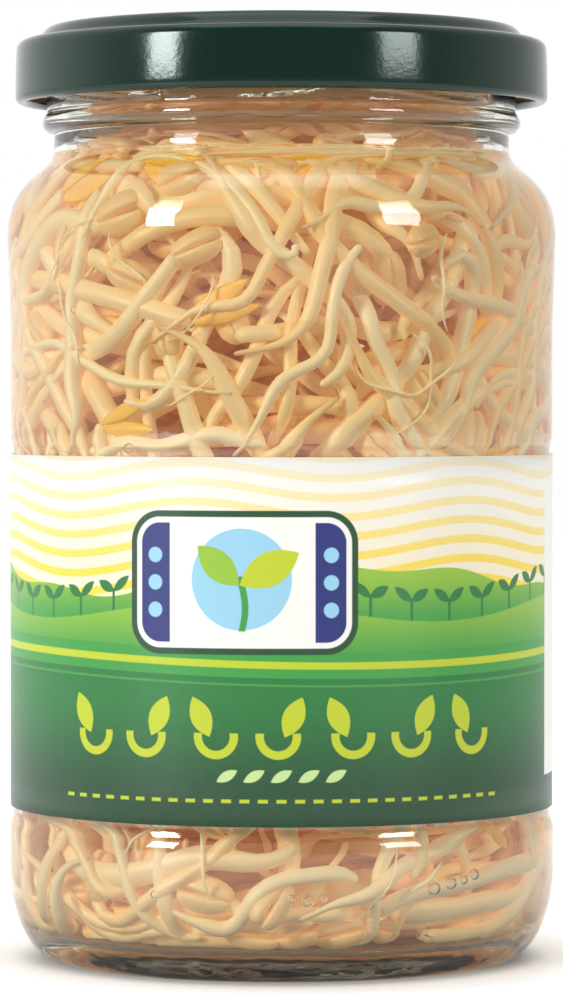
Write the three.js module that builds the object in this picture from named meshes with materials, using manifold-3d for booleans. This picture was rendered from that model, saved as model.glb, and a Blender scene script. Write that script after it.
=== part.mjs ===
// A preserving jar of mung bean sprouts in brine, closed by a twist-off lid.
// Millimetres, +Z up. The origin is the middle of the ring that the jar stands on.
import * as THREE from 'three';
import { mergeVertices } from 'three/addons/utils/BufferGeometryUtils.js';
import Module from 'manifold-3d';

const wasm = await Module();
wasm.setup();

// Glass: outer radii, inner radii and heights
const bodyRadius = 35.36;
const panelRadius = 35.0;
const heelRadius = 35.6;
const shoulderRadius = 35.75;
const neckRadius = 29.65;
const finishRadius = 30.6;
const boreRadius = 28.1;
const innerRadius = 32.75;
const floorHeight = 4.6;
const rimHeight = 119.0;
const beadHeight = 108.6;
const roundSegments = 28;
const curveSteps = 3;

// Thread leads on the neck
const leadCount = 4;
const leadSpan = THREE.MathUtils.degToRad(78);
const leadTopHeight = 114.8;
const leadDrop = 3.6;
const leadStart = THREE.MathUtils.degToRad(-108);

// Lid
const lidRadius = 34.65;
const lidTop = 121.0;
const lidBottom = 111.1;
const lidStepHeight = 119.3;
const sheet = 0.6;
const lugWidth = 8;

// Label
const labelBottom = 19.9;
const labelTop = 65.6;
const labelInnerRadius = 35.08;
const labelOuterRadius = 35.38;

// Liquid: a layer between the glass and the sprouts, with a surface layer on top
const liquidHeight = 103.5;
const liquidGap = 0.12;
const liquidLayer = 0.45;
const stemHoleRadius = 2.5;

// Sprouts
const coreRadius = 25.0;
const coreSegments = 28;
const coreTwist = 0.012;
const shellRadius = 30.6;
const layerDepth = 2.9;
const endRoom = 1.9;
const glassRoom = 1.15;
const betweenRoom = 0.35;
const headRoom = 2.1;
const lineSteps = 24;
const headSteps = 3;
const settlePasses = 60;
const stemSides = 5;
const stemStops = [0, 4, 8, 12, 15, 18, 21];
const seedShare = 0.42;
const leafShare = 0.16;
const goldenAngle = Math.PI * (3 - Math.sqrt(5));
const goldenShare = (Math.sqrt(5) - 1) / 2;
const bunches = [
  { name: 'sprouts_lower', from: 7.2, to: 29.8, count: 12, seed: 103, standing: 0 },
  { name: 'sprouts_middle', from: 30.2, to: 59.8, count: 4, seed: 23, standing: 0 },
  { name: 'sprouts_upper', from: 60.2, to: 102.0, count: 35, seed: 13, standing: 4 },
];

function finish(color, roughness, metalness = 0, opacity = 1) {
  return new THREE.MeshStandardMaterial({
    color, roughness, metalness, opacity, transparent: opacity < 1,
  });
}

const finishes = {
  glass: finish('#e4ece2', 0.05, 0, 0.3),
  lid: finish('#1f3a2e', 0.35, 0.3),
  seal: finish('#d9d4c6', 0.6),
  label: finish('#3f9a45', 0.4),
  liquid: finish('#e0a468', 0.05, 0, 0.4),
  sprouts: finish('#ecd0a6', 0.45),
};

// A seeded draw of numbers from 0 to 1
function makeDraw(seed) {
  let state = seed;
  return () => {
    state = (state * 1664525 + 1013904223) % 4294967296;
    return state / 4294967296;
  };
}

// Shared corners are merged while a shape is still plain, so that its seam closes exactly
function welded(geometry) {
  geometry.deleteAttribute('normal');
  geometry.deleteAttribute('uv');
  return mergeVertices(geometry, 1e-4);
}

function solidFrom(geometry) {
  const triangles = [];
  for (let i = 0; i < geometry.index.count; i += 3) {
    const [a, b, c] = [0, 1, 2].map((k) => geometry.index.getX(i + k));
    if (a !== b && b !== c && c !== a) triangles.push(a, b, c);
  }
  const vertProperties = new Float32Array(geometry.attributes.position.array);
  const triVerts = new Uint32Array(triangles);
  return new wasm.Manifold(new wasm.Mesh({ numProp: 3, vertProperties, triVerts }));
}

function geometryFrom(solid) {
  const { vertProperties, triVerts } = solid.getMesh();
  const geometry = new THREE.BufferGeometry();
  geometry.setAttribute('position', new THREE.BufferAttribute(vertProperties, 3));
  geometry.setIndex(new THREE.BufferAttribute(triVerts, 1));
  return geometry;
}

function join(solids) {
  return solids.reduce((whole, solid) => whole.add(solid));
}

// The one outer body of what was joined: hollows sealed inside it are filled
function largestBody(solid) {
  const bodies = solid.decompose();
  return bodies.reduce((best, body) => (body.volume() > best.volume() ? body : best));
}

// A profile of radius and height, turned round the upright axis.
// It runs with its material on the left, so the faces point out.
function turned(profile) {
  const points = profile.getPoints(curveSteps);
  const lathe = welded(new THREE.LatheGeometry(points, roundSegments));
  return solidFrom(lathe.rotateX(Math.PI / 2));
}

function closedRing(innerR, outerR, bottom, top) {
  const profile = new THREE.Path();
  profile.moveTo(innerR, bottom);
  profile.lineTo(outerR, bottom);
  profile.lineTo(outerR, top);
  profile.lineTo(innerR, top);
  profile.lineTo(innerR, bottom);
  return turned(profile);
}

// A closed tube along a list of points: each has a place, a radius and an outward direction.
// The section may be flattened along that direction.
function tubeAlong(stations, sides, flatness = 1) {
  const steps = stations.length - 1;
  const geometry = welded(new THREE.CylinderGeometry(1, 1, 1, sides, steps));
  const position = geometry.attributes.position;
  const centres = stations.map((station) => station.place);
  const frames = stations.map((station, i) => {
    const before = centres[Math.max(i - 1, 0)];
    const after = centres[Math.min(i + 1, steps)];
    const along = after.clone().sub(before).normalize();
    const across = along.clone().cross(station.outward).normalize();
    return { across, up: across.clone().cross(along) };
  });
  for (let i = 0; i < position.count; i += 1) {
    const ring = Math.round((position.getY(i) + 0.5) * steps);
    const { place, radius } = stations[ring];
    const { across, up } = frames[ring];
    const point = place.clone();
    point.addScaledVector(across, position.getX(i) * radius);
    point.addScaledVector(up, position.getZ(i) * radius * flatness);
    position.setXYZ(i, point.x, point.y, point.z);
  }
  return solidFrom(geometry);
}

function roundAbout(radius, angle, height) {
  return new THREE.Vector3(radius * Math.cos(angle), radius * Math.sin(angle), height);
}

function makeJar() {
  const profile = new THREE.Path();
  profile.moveTo(0, 2.0);
  profile.lineTo(21, 1.7);
  profile.quadraticCurveTo(25.6, 1.4, 26.4, 0);
  profile.lineTo(29.8, 0);
  profile.bezierCurveTo(33.0, 0, heelRadius, 6.0, heelRadius, 12.0);
  profile.lineTo(heelRadius, 17.0);
  profile.lineTo(panelRadius, 19.0);
  profile.lineTo(panelRadius, 66.4);
  profile.lineTo(bodyRadius, 68.0);
  profile.lineTo(bodyRadius, 82.0);
  profile.lineTo(shoulderRadius, 93.6);
  profile.bezierCurveTo(shoulderRadius, 98.4, 33.8, 100.5, 31.6, 102.2);
  profile.quadraticCurveTo(29.8, 103.5, neckRadius, 105.0);
  profile.lineTo(neckRadius, 107.0);
  profile.absarc(29.75, beadHeight, 1.45, -Math.PI / 2.2, Math.PI / 3.4, false);
  profile.lineTo(finishRadius, 110.1);
  profile.lineTo(finishRadius, rimHeight - 1.0);
  profile.quadraticCurveTo(finishRadius, rimHeight, 29.7, rimHeight);
  profile.lineTo(29.0, rimHeight);
  profile.quadraticCurveTo(boreRadius, rimHeight, boreRadius, rimHeight - 1.1);
  profile.lineTo(boreRadius, 105.0);
  profile.bezierCurveTo(boreRadius, 101.5, innerRadius, 100.5, innerRadius, 95.0);
  profile.lineTo(innerRadius, 13.0);
  profile.bezierCurveTo(innerRadius, 8.0, 30.2, floorHeight, 25.0, floorHeight);
  profile.lineTo(0, floorHeight + 0.8);
  return join([turned(profile), ...Array.from({ length: leadCount }, (_, k) => makeLead(k))]);
}

// One thread lead: a low ridge that winds down round the neck
function makeLead(k) {
  const steps = 6;
  const stations = [];
  for (let i = 0; i <= steps; i += 1) {
    const t = i / steps;
    const angle = leadStart + (k * 2 * Math.PI) / leadCount + t * leadSpan;
    const swell = Math.sin(Math.PI * (0.1 + 0.8 * t));
    stations.push({
      place: roundAbout(30.9, angle, leadTopHeight - leadDrop * t),
      radius: 0.5 + 0.6 * swell,
      outward: roundAbout(1, angle, 0),
    });
  }
  return tubeAlong(stations, 5);
}

function makeLid() {
  const curl = 0.8;
  const inside = lidRadius - sheet;
  const profile = new THREE.Path();
  profile.moveTo(0, lidTop - 1.1 - sheet);
  profile.lineTo(27.6, lidTop - 1.1 - sheet);
  profile.lineTo(28.5, lidTop - sheet);
  profile.lineTo(31.0, lidTop - sheet);
  profile.lineTo(31.0, lidStepHeight - sheet);
  profile.lineTo(32.9, lidStepHeight - sheet);
  profile.quadraticCurveTo(inside, lidStepHeight - sheet, inside, 117.4);
  profile.lineTo(inside, lidBottom + 2 * curl + 0.4);
  profile.lineTo(lidRadius - 2 * curl, lidBottom + 2 * curl);
  profile.absarc(lidRadius - curl, lidBottom + curl, curl, Math.PI, 2 * Math.PI, false);
  profile.lineTo(lidRadius, 117.5);
  profile.quadraticCurveTo(lidRadius, lidStepHeight, 33.0, lidStepHeight);
  profile.lineTo(31.7, lidStepHeight);
  profile.quadraticCurveTo(31.5, lidTop, 30.6, lidTop);
  profile.lineTo(28.6, lidTop);
  profile.lineTo(27.4, lidTop - 1.1);
  profile.lineTo(14.6, lidTop - 1.1);
  profile.lineTo(13.6, lidTop - 0.75);
  profile.lineTo(0, lidTop - 0.75);
  const lugs = Array.from({ length: leadCount }, (_, k) => makeLug(k));
  return join([turned(profile), ...lugs]);
}

// One lug, pressed in from the rolled edge so that it lies under a thread lead
function makeLug(k) {
  const angle = leadStart + THREE.MathUtils.degToRad(10) + (k * 2 * Math.PI) / leadCount;
  const depth = 1.6;
  const lug = welded(new THREE.BoxGeometry(depth, lugWidth, 1.0));
  lug.translate(32.6, 0, lidBottom + 0.8);
  return solidFrom(lug.rotateZ(angle));
}

function makeSeal() {
  return closedRing(28.75, 30.8, rimHeight + 0.12, lidTop - sheet - 0.12);
}

function makeLabel() {
  return closedRing(labelInnerRadius, labelOuterRadius, labelBottom, labelTop);
}

// How far the sprouts may reach at a height, just short of the glass at shoulder and heel
function wallRadius(height) {
  const shoulder = THREE.MathUtils.smoothstep(height, 92.0, 102.0);
  const heel = 1 - THREE.MathUtils.smoothstep(height, floorHeight - 6, 13.0);
  return innerRadius - (innerRadius - boreRadius) * shoulder - 11 * heel;
}

function makeBrine(holes) {
  const outside = innerRadius - liquidGap;
  const inside = outside - liquidLayer;
  const bottom = floorHeight + 0.95;
  const profile = new THREE.Path();
  profile.moveTo(0, bottom);
  profile.lineTo(25.0, bottom);
  profile.bezierCurveTo(29.9, bottom, outside, 8.6, outside, 13.2);
  profile.lineTo(outside, 94.6);
  profile.bezierCurveTo(outside, 100.2, boreRadius - 0.4, 101.1, boreRadius - 0.3, liquidHeight);
  profile.lineTo(0, liquidHeight);
  profile.lineTo(0, liquidHeight - liquidLayer);
  profile.lineTo(boreRadius - 1.2, liquidHeight - liquidLayer);
  profile.bezierCurveTo(boreRadius - 1.1, 100.9, inside, 99.7, inside, 94.4);
  profile.lineTo(inside, 13.4);
  profile.bezierCurveTo(inside, 9.2, 29.6, bottom + liquidLayer, 24.8, bottom + liquidLayer);
  profile.lineTo(0, bottom + liquidLayer);
  return holes.reduce((liquid, hole) => liquid.subtract(hole), turned(profile));
}

// The middle line of a sprout that lies round the bunch, from its root, which is sunk in the
// core, to its head. Every other one lies a layer deeper. It turns level at its bunch's ends.
function sproutLine(draw, bunch, index) {
  const step = (38 + 28 * draw()) / lineSteps;
  const low = bunch.from + endRoom;
  const high = bunch.to - endRoom;
  let angle = index * goldenAngle + 0.5 * draw();
  let z = low + (high - low) * ((index * goldenShare + 0.2 * draw()) % 1);
  let heading = 2 * Math.PI * draw();
  const bend = 0.05 * (draw() - 0.5);
  const wave = 0.07 * (draw() - 0.5);
  const phase = 2 * Math.PI * draw();
  const hook = (draw() < 0.5 ? -1 : 1) * (0.06 + 0.14 * draw());
  const thickness = 1.15 + 0.5 * draw();
  const kind = draw();
  const depth = (index % 2) * layerDepth;
  const points = [];
  for (let i = 0; i <= lineSteps; i += 1) {
    const t = i / lineSteps;
    const rise = THREE.MathUtils.smoothstep(t, 0, 0.3);
    const layer = Math.min(shellRadius, wallRadius(z) - 2.3) - depth;
    const radius = layer - (layer - coreRadius + 1.5) * (1 - rise);
    points.push(roundAbout(radius, angle, z));
    heading += step * (bend + wave * Math.sin(phase + 7 * t) + (t > 0.82 ? hook : 0));
    const room = Math.sin(heading) > 0 ? high - z : z - low;
    angle += (step * Math.cos(heading)) / radius;
    z += step * Math.sin(heading) * THREE.MathUtils.clamp(room / 4, 0, 1);
  }
  return { points, step, thickness, kind, still: false };
}

// A sprout that stands out of the liquid, with an upright stem
function standingLine(draw, bunch, index) {
  const bottom = 88;
  const angle = (index + 0.4 * draw()) * ((2 * Math.PI) / bunch.standing) - 1.9;
  const radius = 17 + 5 * draw();
  const top = liquidHeight + 4 + 2 * draw();
  const thickness = 1.15 + 0.5 * draw();
  const kind = draw();
  const points = [];
  for (let i = 0; i <= lineSteps; i += 1) {
    const t = i / lineSteps;
    const lean = 3 * THREE.MathUtils.smoothstep(t, 0.86, 1.0);
    points.push(roundAbout(radius, angle + lean / radius, bottom + (top - bottom) * t));
  }
  return { points, step: (top - bottom) / lineSteps, thickness, kind, still: true };
}

function outwardAt(place) {
  return new THREE.Vector3(place.x, place.y, 0).normalize();
}

// Thin at the root, full along the stem, a little thinner at the head
function stemRadius(t, thickness) {
  const swell = THREE.MathUtils.smoothstep(t, 0.05, 0.34);
  return thickness * (0.32 + 0.68 * swell) * (1 - 0.18 * t);
}

// The points of all the lines, with the room that each one needs. Roots stay in the core.
function knotsOf(lines) {
  return lines.flatMap((line) => line.points.map((place, i) => {
    const t = i / lineSteps;
    const swollen = line.kind < seedShare && t > 0.86;
    const thick = swollen ? headRoom : stemRadius(t, line.thickness);
    return { line, place, t, thick, free: !line.still && t > 0.08 };
  }));
}

function pushApart(knots) {
  const pushes = knots.map(() => new THREE.Vector3());
  const hits = knots.map(() => 0);
  const apart = new THREE.Vector3();
  knots.forEach((one, i) => {
    for (let k = i + 1; k < knots.length; k += 1) {
      const other = knots[k];
      if (one.line === other.line) continue;
      const distance = apart.subVectors(one.place, other.place).length() + 1e-9;
      const lacking = one.thick + other.thick + betweenRoom - distance;
      if (lacking <= 0) continue;
      const push = (0.7 * lacking) / distance;
      pushes[i].addScaledVector(apart, other.free ? push / 2 : push);
      pushes[k].addScaledVector(apart, one.free ? -push / 2 : -push);
      hits[i] += 1;
      hits[k] += 1;
    }
  });
  pushes.forEach((push, i) => push.divideScalar(Math.max(1, 0.6 * hits[i])));
  knots.forEach((knot, i) => {
    if (!knot.free) return;
    knot.place.addScaledVector(pushes[i], 1 / 1.9);
    for (const k of [i - 1, i + 1]) {
      if (knots[k]?.line === knot.line && knots[k].free) {
        knot.place.addScaledVector(pushes[k], 0.7 / 1.9);
      }
    }
  });
}

// Brings the points of each line back to their distance from each other
function keepLength(knots) {
  const fixes = knots.map((knot, i) => {
    const next = knots[i + 1];
    if (next?.line !== knot.line) return null;
    const span = next.place.clone().sub(knot.place);
    return span.multiplyScalar(0.4 * (1 - knot.line.step / (span.length() + 1e-9)));
  });
  knots.forEach((knot, i) => {
    if (!knot.free) return;
    if (fixes[i]) knot.place.add(fixes[i]);
    if (fixes[i - 1]) knot.place.sub(fixes[i - 1]);
  });
}

function keepInBunch(knots, bunch) {
  for (const { place, t, thick, free } of knots) {
    if (!free) continue;
    const reach = Math.hypot(place.x, place.y);
    const most = wallRadius(place.z) - thick - glassRoom;
    const least = t > 0.3 ? Math.min(coreRadius + thick, most) : 0;
    const scale = THREE.MathUtils.clamp(reach, least, most) / reach;
    place.x *= scale;
    place.y *= scale;
    place.z = THREE.MathUtils.clamp(place.z, bunch.from + thick, bunch.to - thick);
  }
}

// Moves the lines until they lie clear of each other, between the core and the glass
function settle(lines, bunch) {
  const knots = knotsOf(lines);
  for (let pass = 0; pass < settlePasses; pass += 1) {
    pushApart(knots);
    keepLength(knots);
    keepLength(knots);
    keepLength(knots);
    keepInBunch(knots, bunch);
  }
}

// Moves a seed half or a leaf back from the glass and from the next bunch
function keptInside(shape, low, high) {
  const position = shape.attributes.position;
  let inward = 0;
  let up = 0;
  let down = 0;
  for (let i = 0; i < position.count; i += 1) {
    const [x, y, z] = [position.getX(i), position.getY(i), position.getZ(i)];
    inward = Math.max(inward, Math.hypot(x, y) - wallRadius(z) + glassRoom);
    up = Math.max(up, low - z);
    down = Math.max(down, z - high);
  }
  shape.computeBoundingSphere();
  const away = outwardAt(shape.boundingSphere.center).multiplyScalar(-inward);
  return shape.translate(away.x, away.y, up - down);
}

// The two halves of the seed, spread from the head, or a pair of narrow leaves
function headPieces(line, low, high) {
  const pieces = [];
  const leafy = line.kind > seedShare;
  if (line.kind > seedShare + leafShare) return pieces;
  const tip = line.points[lineSteps - headSteps];
  const middle = line.points[lineSteps - headSteps + 1];
  const along = line.points[lineSteps - headSteps + 2].clone().sub(tip).normalize();
  const outward = outwardAt(middle);
  const across = along.clone().cross(outward).normalize();
  for (const side of [-1, 1]) {
    const direction = along.clone().addScaledVector(across, 0.22 * side).normalize();
    const sideways = direction.clone().cross(outward).normalize();
    const up = sideways.clone().cross(direction);
    const size = leafy ? [4.4, 1.15, 0.45] : [3.6, 1.3, 1.7];
    const plain = leafy ? new THREE.OctahedronGeometry(1) : new THREE.SphereGeometry(1, 5, 4);
    const shape = welded(plain);
    const centre = tip.clone().addScaledVector(direction, size[0] * 0.75);
    centre.addScaledVector(sideways, -side * size[1] * 0.62);
    const turn = new THREE.Matrix4().makeBasis(direction, sideways.negate(), up);
    shape.scale(...size).applyMatrix4(turn).translate(centre.x, centre.y, centre.z);
    pieces.push(solidFrom(keptInside(shape, low, high)));
  }
  return pieces;
}

function makeSprout(line, low, high) {
  const headless = line.kind > seedShare + leafShare;
  const stops = headless ? [...stemStops, lineSteps] : stemStops;
  const stations = stops.map((stop) => ({
    place: line.points[stop],
    radius: stemRadius(stop / lineSteps, line.thickness) * (stop === lineSteps ? 0.6 : 1),
    outward: outwardAt(line.points[stop]),
  }));
  return [tubeAlong(stations, stemSides), ...headPieces(line, low, high)];
}

// The middle of a bunch, which its sprouts stand out of: close-set stems that wind upwards
function makeCore(bunch) {
  const low = bunch.from + 1.2;
  const high = bunch.to - 1.2;
  const rows = [
    [0, low],
    [Math.min(coreRadius, wallRadius(low) - 6) - 1.5, low],
    [Math.min(coreRadius, wallRadius(low + 5) - 4), low + 4],
    [coreRadius, (low + high) / 2],
    [coreRadius, high - 9],
    [Math.min(coreRadius, wallRadius(high) - 3.5) - 2, high],
    [0, high],
  ];
  const profile = rows.map(([radius, height]) => new THREE.Vector2(radius, height));
  const core = welded(new THREE.LatheGeometry(profile, coreSegments)).rotateX(Math.PI / 2);
  const position = core.attributes.position;
  for (let i = 0; i < position.count; i += 1) {
    const place = new THREE.Vector3().fromBufferAttribute(position, i);
    const segment = Math.round((Math.atan2(place.y, place.x) * coreSegments) / (2 * Math.PI));
    place.multiply(new THREE.Vector3(1, 1, 0)).multiplyScalar(segment % 2 === 0 ? 1 : 0.92);
    place.applyAxisAngle(new THREE.Vector3(0, 0, 1), coreTwist * (position.getZ(i) - low));
    position.setXY(i, place.x, place.y);
  }
  return solidFrom(core);
}

function makeBunch(bunch) {
  const draw = makeDraw(bunch.seed);
  const lying = Array.from({ length: bunch.count }, (_, i) => sproutLine(draw, bunch, i));
  const standing = Array.from({ length: bunch.standing }, (_, i) => standingLine(draw, bunch, i));
  settle([...standing, ...lying], bunch);
  const pieces = [
    makeCore(bunch),
    ...lying.flatMap((line) => makeSprout(line, bunch.from, bunch.to)),
    ...standing.flatMap((line) => makeSprout(line, bunch.from, lidBottom + 3)),
  ];
  return { solid: largestBody(join(pieces)), holes: standing.map(holeRound) };
}

// The hole that a standing stem has in the liquid's surface
function holeRound(line) {
  const hole = welded(new THREE.CylinderGeometry(stemHoleRadius, stemHoleRadius, 6, 8));
  const stem = line.points[headSteps];
  return solidFrom(hole.rotateX(Math.PI / 2).translate(stem.x, stem.y, liquidHeight));
}

function part(name, solid, material) {
  const mesh = new THREE.Mesh(geometryFrom(solid), material);
  mesh.name = name;
  return mesh;
}

const jarOfSprouts = new THREE.Group();
const grown = bunches.map((bunch) => ({ ...makeBunch(bunch), name: bunch.name }));
jarOfSprouts.add(part('glass_jar', makeJar(), finishes.glass));
jarOfSprouts.add(part('lid', makeLid(), finishes.lid));
jarOfSprouts.add(part('sealing_ring', makeSeal(), finishes.seal));
jarOfSprouts.add(part('label', makeLabel(), finishes.label));
jarOfSprouts.add(part('brine', makeBrine(grown.flatMap((bunch) => bunch.holes)), finishes.liquid));
for (const bunch of grown) {
  jarOfSprouts.add(part(bunch.name, bunch.solid, finishes.sprouts));
}

export default jarOfSprouts;
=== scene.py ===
import math
import bmesh
import bpy
import numpy as np
from mathutils import Matrix, Vector


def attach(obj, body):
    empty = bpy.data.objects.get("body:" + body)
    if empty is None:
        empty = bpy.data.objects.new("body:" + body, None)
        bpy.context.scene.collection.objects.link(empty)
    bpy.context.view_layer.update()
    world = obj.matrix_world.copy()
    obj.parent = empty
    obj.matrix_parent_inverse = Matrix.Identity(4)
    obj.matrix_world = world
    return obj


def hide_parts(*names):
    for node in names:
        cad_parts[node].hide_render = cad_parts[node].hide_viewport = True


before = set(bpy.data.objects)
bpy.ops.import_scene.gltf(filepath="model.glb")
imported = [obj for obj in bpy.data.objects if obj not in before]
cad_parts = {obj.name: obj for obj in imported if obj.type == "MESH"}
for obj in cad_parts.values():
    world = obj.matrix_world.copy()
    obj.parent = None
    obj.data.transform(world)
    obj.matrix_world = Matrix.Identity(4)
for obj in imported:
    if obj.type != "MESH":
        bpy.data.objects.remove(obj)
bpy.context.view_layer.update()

mm = 0.001


# Shader maths: a socket with operators
class Wire:
    def __init__(self, tree, socket=None):
        self.tree = tree
        self.socket = socket

    def node(self, kind, settings=None, values=None, out=0):
        made = self.tree.nodes.new(kind)
        for name, value in (settings or {}).items():
            setattr(made, name, value)
        for name, value in (values or {}).items():
            socket = made.inputs[name]
            if isinstance(value, Wire):
                self.tree.links.new(value.socket, socket)
            else:
                socket.default_value = value
        return Wire(self.tree, made.outputs[out])

    def maths(self, operation, *values):
        return self.node("ShaderNodeMath", {"operation": operation}, dict(enumerate(values)))

    def __add__(self, other):
        return self.maths("ADD", self, other)

    def __radd__(self, other):
        return self.maths("ADD", other, self)

    def __sub__(self, other):
        return self.maths("SUBTRACT", self, other)

    def __rsub__(self, other):
        return self.maths("SUBTRACT", other, self)

    def __mul__(self, other):
        return self.maths("MULTIPLY", self, other)

    def __rmul__(self, other):
        return self.maths("MULTIPLY", other, self)

    def __truediv__(self, other):
        return self.maths("DIVIDE", self, other)

    def __pow__(self, other):
        return self.maths("POWER", self, other)

    def __lt__(self, other):
        return self.maths("LESS_THAN", self, other)

    def __gt__(self, other):
        return self.maths("GREATER_THAN", self, other)

    def __abs__(self):
        return self.maths("ABSOLUTE", self)


def smooth(wire, value, low, high):
    return wire.node("ShaderNodeMapRange", {"interpolation_type": "SMOOTHSTEP"},
                     {"Value": value, "From Min": low, "From Max": high})


def mixed(wire, factor, first, second):
    return wire.node("ShaderNodeMix", {"data_type": "RGBA"}, {0: factor, 6: first, 7: second}, out=2)


def noise(wire, where, scale, detail=2.0, rough=0.5):
    values = {"Vector": where, "Scale": scale, "Detail": detail, "Roughness": rough}
    return wire.node("ShaderNodeTexNoise", None, values)


def span(x, y):
    return (x * x + y * y) ** 0.5


def newMaterial(name, constants):
    material = bpy.data.materials.new(name)
    material.use_nodes = True
    shader = material.node_tree.nodes["Principled BSDF"]
    for socket, value in constants.items():
        shader.inputs[socket].default_value = value
    wire = Wire(material.node_tree)
    place = wire.node("ShaderNodeTexCoord", out="Object")
    return material, wire, place, shader


def feed(wire, shader, **sockets):
    for name, value in sockets.items():
        wire.tree.links.new(value.socket, shader.inputs[name.replace("_", " ")])


def bump(wire, height, strength, distance):
    return wire.node("ShaderNodeBump", None,
                     {"Height": height, "Strength": strength, "Distance": distance * mm})


def clearToLamps(wire, shader):
    # lamps shine straight through the clear piece, everything else bends in it
    output = wire.tree.nodes["Material Output"]
    shadow = wire.node("ShaderNodeLightPath", out="Is Shadow Ray")
    clear = wire.node("ShaderNodeBsdfTransparent")
    both = wire.node("ShaderNodeMixShader", None,
                     {0: shadow, 1: Wire(wire.tree, shader.outputs[0]), 2: clear})
    wire.tree.links.new(both.socket, output.inputs["Surface"])


def soak(wire, colour, density):
    # light that runs a long way through the clear piece takes its colour
    inside = wire.node("ShaderNodeVolumeAbsorption", None, {"Color": colour, "Density": density})
    wire.tree.links.new(inside.socket, wire.tree.nodes["Material Output"].inputs["Volume"])


# An outline of radius and height, drawn with lines, curves and arcs
class Outline:
    def __init__(self, radius, height):
        self.points = [(radius, height)]

    def line(self, radius, height, steps=1):
        r0, z0 = self.points[-1]
        for i in range(1, steps + 1):
            self.points.append((r0 + (radius - r0) * i / steps, z0 + (height - z0) * i / steps))
        return self

    def curve(self, r1, z1, r2, z2, r3, z3, steps=10):
        r0, z0 = self.points[-1]
        for i in range(1, steps + 1):
            t = i / steps
            a, b, c, d = (1 - t) ** 3, 3 * t * (1 - t) ** 2, 3 * t * t * (1 - t), t ** 3
            self.points.append((a * r0 + b * r1 + c * r2 + d * r3, a * z0 + b * z1 + c * z2 + d * z3))
        return self

    def bend(self, r1, z1, r2, z2, steps=8):
        r0, z0 = self.points[-1]
        return self.curve(r0 + (r1 - r0) * 2 / 3, z0 + (z1 - z0) * 2 / 3,
                          r2 + (r1 - r2) * 2 / 3, z2 + (z1 - z2) * 2 / 3, r2, z2, steps)

    def arc(self, r, z, radius, start, end, steps=10):
        for i in range(steps + 1):
            angle = start + (end - start) * i / steps
            self.points.append((r + radius * math.cos(angle), z + radius * math.sin(angle)))
        return self


def turned(outline, segments, closed=False):
    bm = bmesh.new()
    verts = [bm.verts.new((r * mm, 0, z * mm)) for r, z in outline.points]
    edges = [bm.edges.new(pair) for pair in zip(verts, verts[1:])]
    if closed:
        edges.append(bm.edges.new((verts[-1], verts[0])))
    bmesh.ops.spin(bm, geom=verts + edges, axis=(0, 0, 1), cent=(0, 0, 0), steps=segments,
                   angle=2 * math.pi, use_merge=True)
    bmesh.ops.remove_doubles(bm, verts=bm.verts, dist=1e-6)
    bmesh.ops.recalc_face_normals(bm, faces=bm.faces)
    return bm


def finished(bm, name, material, slot, *nodes):
    for face in bm.faces:
        face.smooth = True
    mesh = bpy.data.meshes.new(name)
    bm.to_mesh(mesh)
    bm.free()
    piece = bpy.data.objects.new(name, mesh)
    bpy.context.scene.collection.objects.link(piece)
    mesh.materials.append(material)
    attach(piece, "root")
    if nodes:
        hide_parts(*nodes)
    print(name, sum(len(face.vertices) - 2 for face in mesh.polygons), "triangles")
    return piece


def smoothstep(value, low, high):
    t = np.clip((value - low) / (high - low), 0, 1)
    return t * t * (3 - 2 * t)


# Glass; all these settings are in millimetres
jar = {
    "bodyRadius": 35.36, "panelRadius": 35.0, "heelRadius": 35.6, "shoulderRadius": 35.75,
    "neckRadius": 29.65, "finishRadius": 30.6, "boreRadius": 28.1, "innerRadius": 32.75,
    "innerPanel": 32.4, "innerShoulder": 33.1, "floorHeight": 4.6, "glassFloor": 3.8,
    "rimHeight": 119.0, "beadHeight": 108.6, "segments": 200,
    "leadCount": 4, "leadStart": math.radians(-108), "leadSpan": math.radians(78),
    "leadTop": 114.8, "leadDrop": 4.4, "leadHeight": 1.5,
}


def glassMaterial():
    material, wire, place, shader = newMaterial("jarGlass", {
        "Transmission Weight": 1.0, "IOR": 1.5, "Roughness": 0.0})
    ripple = noise(wire, place, 45, 1.5)
    grain = noise(wire, place, 420, 2)
    tint = mixed(wire, ripple, (0.955, 0.98, 0.945, 1), (0.98, 0.99, 0.96, 1))
    parts = wire.node("ShaderNodeSeparateXYZ", None, {0: place}).socket.node
    low = smooth(wire, Wire(wire.tree, parts.outputs[2]), 8 * mm, 3 * mm)
    swirl = noise(wire, place, 110, 2)
    waves = ripple + 0.2 * grain + 2.4 * low * swirl
    feed(wire, shader, Base_Color=tint, Normal=bump(wire, waves, 0.18, 0.6))
    clearToLamps(wire, shader)
    soak(wire, (0.74, 0.63, 0.4, 1), 29.0)
    return material


def leadRise(angle, height):
    # how far a thread lead stands out at this place on the neck
    rise = 0
    for k in range(jar["leadCount"]):
        turn = (angle - jar["leadStart"] - k * 2 * math.pi / jar["leadCount"]) % (2 * math.pi)
        t = turn / jar["leadSpan"]
        if t > 1:
            continue
        middle = jar["leadTop"] - jar["leadDrop"] * t
        side = max(0.0, 1 - ((height - middle) / 1.0) ** 2) ** 0.7
        ends = smoothstep(t, 0, 0.1) * smoothstep(1 - t, 0, 0.1)
        rise = max(rise, jar["leadHeight"] * side * ends)
    return rise


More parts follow.
